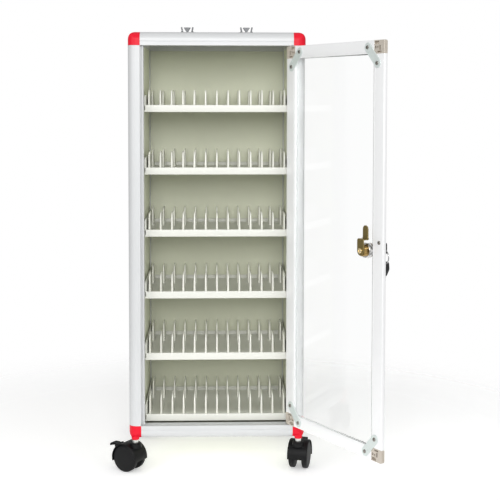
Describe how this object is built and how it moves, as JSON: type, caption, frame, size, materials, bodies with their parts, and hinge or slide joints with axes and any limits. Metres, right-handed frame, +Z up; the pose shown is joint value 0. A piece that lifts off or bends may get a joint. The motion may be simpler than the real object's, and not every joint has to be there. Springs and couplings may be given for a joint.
{
  "type": "phone locker cabinet",
  "caption": "Upright open-frame locker on castors that holds phones on edge in divided trays behind a clear hinged door with a cam lock.",
  "frame": {"origin": "centre of the underside of the bottom panel, 66 mm above the floor", "axes": "+Z up, -Y towards the front, +X towards the hinge side of the door"},
  "size_m": [0.4846, 0.5076, 0.816],
  "materials": {
    "frame_silver": "satin silver-white coated extrusion",
    "corner_red": "moulded, smooth",
    "panel_grey": "smooth faced composite sheet",
    "tray_cream": "smooth, slightly glossy",
    "divider_cream": "smooth, slightly glossy",
    "rivet_alloy": "plain",
    "door_silver": "satin silver-white coated extrusion",
    "cast_zinc": "fine sand-cast satin",
    "clear_pane": "clear, polished",
    "brace_steel": "zinc-plated",
    "bright_screw": "bright plated",
    "lock_brass": "turned",
    "nut_chrome": "bright plated",
    "cam_steel": "yellow zinc plated",
    "key_black": "moulded head",
    "ring_steel": "bright plated",
    "handle_chrome": "bright plated",
    "grip_rubber": "matt",
    "stem_steel": "bright zinc",
    "castor_black": "satin moulded",
    "wheel_black": "satin moulded"
  },
  "bodies": {
    "cabinet": {"post_front_left": "frame_silver", "post_front_right": "frame_silver", "post_rear_left": "frame_silver", "post_rear_right": "frame_silver", "rail_top_front": "frame_silver", "rail_top_rear": "frame_silver", "rail_top_left": "frame_silver", "rail_top_right": "frame_silver", "rail_bottom_front": "frame_silver", "rail_bottom_rear": "frame_silver", "rail_bottom_left": "frame_silver", "rail_bottom_right": "frame_silver", "corner_connectors": "corner_red", "panel_left": "panel_grey", "panel_right": "panel_grey", "panel_back": "panel_grey", "panel_top": "panel_grey", "panel_bottom": "panel_grey", "tray_1": "tray_cream", "tray_2": "tray_cream", "tray_3": "tray_cream", "tray_4": "tray_cream", "tray_5": "tray_cream", "tray_6": "tray_cream", "front_dividers": "divider_cream", "rear_dividers": "divider_cream", "tray_rivets": "rivet_alloy", "handle_brackets": "handle_chrome", "castor_stems": "stem_steel"},
    "door": {"door_stile_hinge": "door_silver", "door_stile_free": "door_silver", "door_rail_top": "door_silver", "door_rail_bottom": "door_silver", "door_corner_blocks": "cast_zinc", "door_pane": "clear_pane", "door_braces": "brace_steel", "door_screws": "bright_screw", "door_hinge_pins": "bright_screw", "lock_barrel": "lock_brass", "lock_nut": "nut_chrome"},
    "lock_core": {"lock_plug": "lock_brass", "lock_cam": "cam_steel", "lock_cam_screw": "cam_steel", "key": "key_black"},
    "key_ring": {"key_ring": "ring_steel"},
    "spare_key": {"spare_key": "key_black"},
    "handle": {"handle_bail": "handle_chrome", "handle_grip": "grip_rubber"},
    "castor_front_left": {"castor_hood_front_left": "castor_black"},
    "wheels_front_left": {"castor_wheels_front_left": "wheel_black"},
    "brake_front_left": {"brake_lever_front_left": "castor_black"},
    "castor_front_right": {"castor_hood_front_right": "castor_black"},
    "wheels_front_right": {"castor_wheels_front_right": "wheel_black"},
    "brake_front_right": {"brake_lever_front_right": "castor_black"},
    "castor_rear_left": {"castor_hood_rear_left": "castor_black"},
    "wheels_rear_left": {"castor_wheels_rear_left": "wheel_black"},
    "brake_rear_left": {"brake_lever_rear_left": "castor_black"},
    "castor_rear_right": {"castor_hood_rear_right": "castor_black"},
    "wheels_rear_right": {"castor_wheels_rear_right": "wheel_black"},
    "brake_rear_right": {"brake_lever_rear_right": "castor_black"}
  },
  "joints": [
    {"name": "door_hinge", "type": "hinge", "parent": "cabinet", "child": "door", "pos_m": [0.1315, -0.116, 0], "axis": [0, 0, 1], "range_deg": [-121, 0]},
    {"name": "lock_turn", "type": "hinge", "parent": "door", "child": "lock_core", "pos_m": [0.24893, -0.31143, 0.367], "axis": [0.8572, 0.515, 0], "range_deg": [0, 90]},
    {"name": "key_ring_swing", "type": "hinge", "parent": "lock_core", "child": "key_ring", "pos_m": [0.2755, -0.29547, 0.367], "axis": [-0.515, 0.8572, 0], "range_deg": [-75, 12]},
    {"name": "spare_key_swing", "type": "hinge", "parent": "key_ring", "child": "spare_key", "pos_m": [0.2755, -0.29547, 0.33942], "axis": [-0.515, 0.8572, 0], "range_deg": [-75, 14]},
    {"name": "handle_fold", "type": "hinge", "parent": "cabinet", "child": "handle", "pos_m": [0, 0, 0.738], "axis": [1, 0, 0], "range_deg": [0, 180]},
    {"name": "swivel_front_left", "type": "hinge", "parent": "cabinet", "child": "castor_front_left", "pos_m": [-0.149, -0.109, -0.016], "axis": [0, 0, 1], "continuous": true},
    {"name": "wheel_spin_front_left", "type": "hinge", "parent": "castor_front_left", "child": "wheels_front_left", "pos_m": [-0.16074, -0.10138, -0.041], "axis": [-0.5446, -0.8387, 0], "continuous": true},
    {"name": "brake_press_front_left", "type": "hinge", "parent": "castor_front_left", "child": "brake_front_left", "pos_m": [-0.17977, -0.08901, -0.02327], "axis": [-0.5446, -0.8387, 0], "range_deg": [0, 20]},
    {"name": "swivel_front_right", "type": "hinge", "parent": "cabinet", "child": "castor_front_right", "pos_m": [0.149, -0.109, -0.016], "axis": [0, 0, 1], "continuous": true},
    {"name": "wheel_spin_front_right", "type": "hinge", "parent": "castor_front_right", "child": "wheels_front_right", "pos_m": [0.15286, -0.09554, -0.041], "axis": [-0.9613, 0.2756, 0], "continuous": true},
    {"name": "brake_press_front_right", "type": "hinge", "parent": "castor_front_right", "child": "brake_front_right", "pos_m": [0.15911, -0.07373, -0.02327], "axis": [-0.9613, 0.2756, 0], "range_deg": [0, 20]},
    {"name": "swivel_rear_left", "type": "hinge", "parent": "cabinet", "child": "castor_rear_left", "pos_m": [-0.149, 0.109, -0.016], "axis": [0, 0, 1], "continuous": true},
    {"name": "wheel_spin_rear_left", "type": "hinge", "parent": "castor_rear_left", "child": "wheels_rear_left", "pos_m": [-0.13753, 0.11703, -0.041], "axis": [-0.5736, 0.8192, 0], "continuous": true},
    {"name": "brake_press_rear_left", "type": "hinge", "parent": "castor_rear_left", "child": "brake_rear_left", "pos_m": [-0.11894, 0.13005, -0.02327], "axis": [-0.5736, 0.8192, 0], "range_deg": [0, 20]},
    {"name": "swivel_rear_right", "type": "hinge", "parent": "cabinet", "child": "castor_rear_right", "pos_m": [0.149, 0.109, -0.016], "axis": [0, 0, 1], "continuous": true},
    {"name": "wheel_spin_rear_right", "type": "hinge", "parent": "castor_rear_right", "child": "wheels_rear_right", "pos_m": [0.14243, 0.12136, -0.041], "axis": [-0.8829, -0.4695, 0], "continuous": true},
    {"name": "brake_press_rear_right", "type": "hinge", "parent": "castor_rear_right", "child": "brake_rear_right", "pos_m": [0.13177, 0.1414, -0.02327], "axis": [-0.8829, -0.4695, 0], "range_deg": [0, 20]}
  ]
}
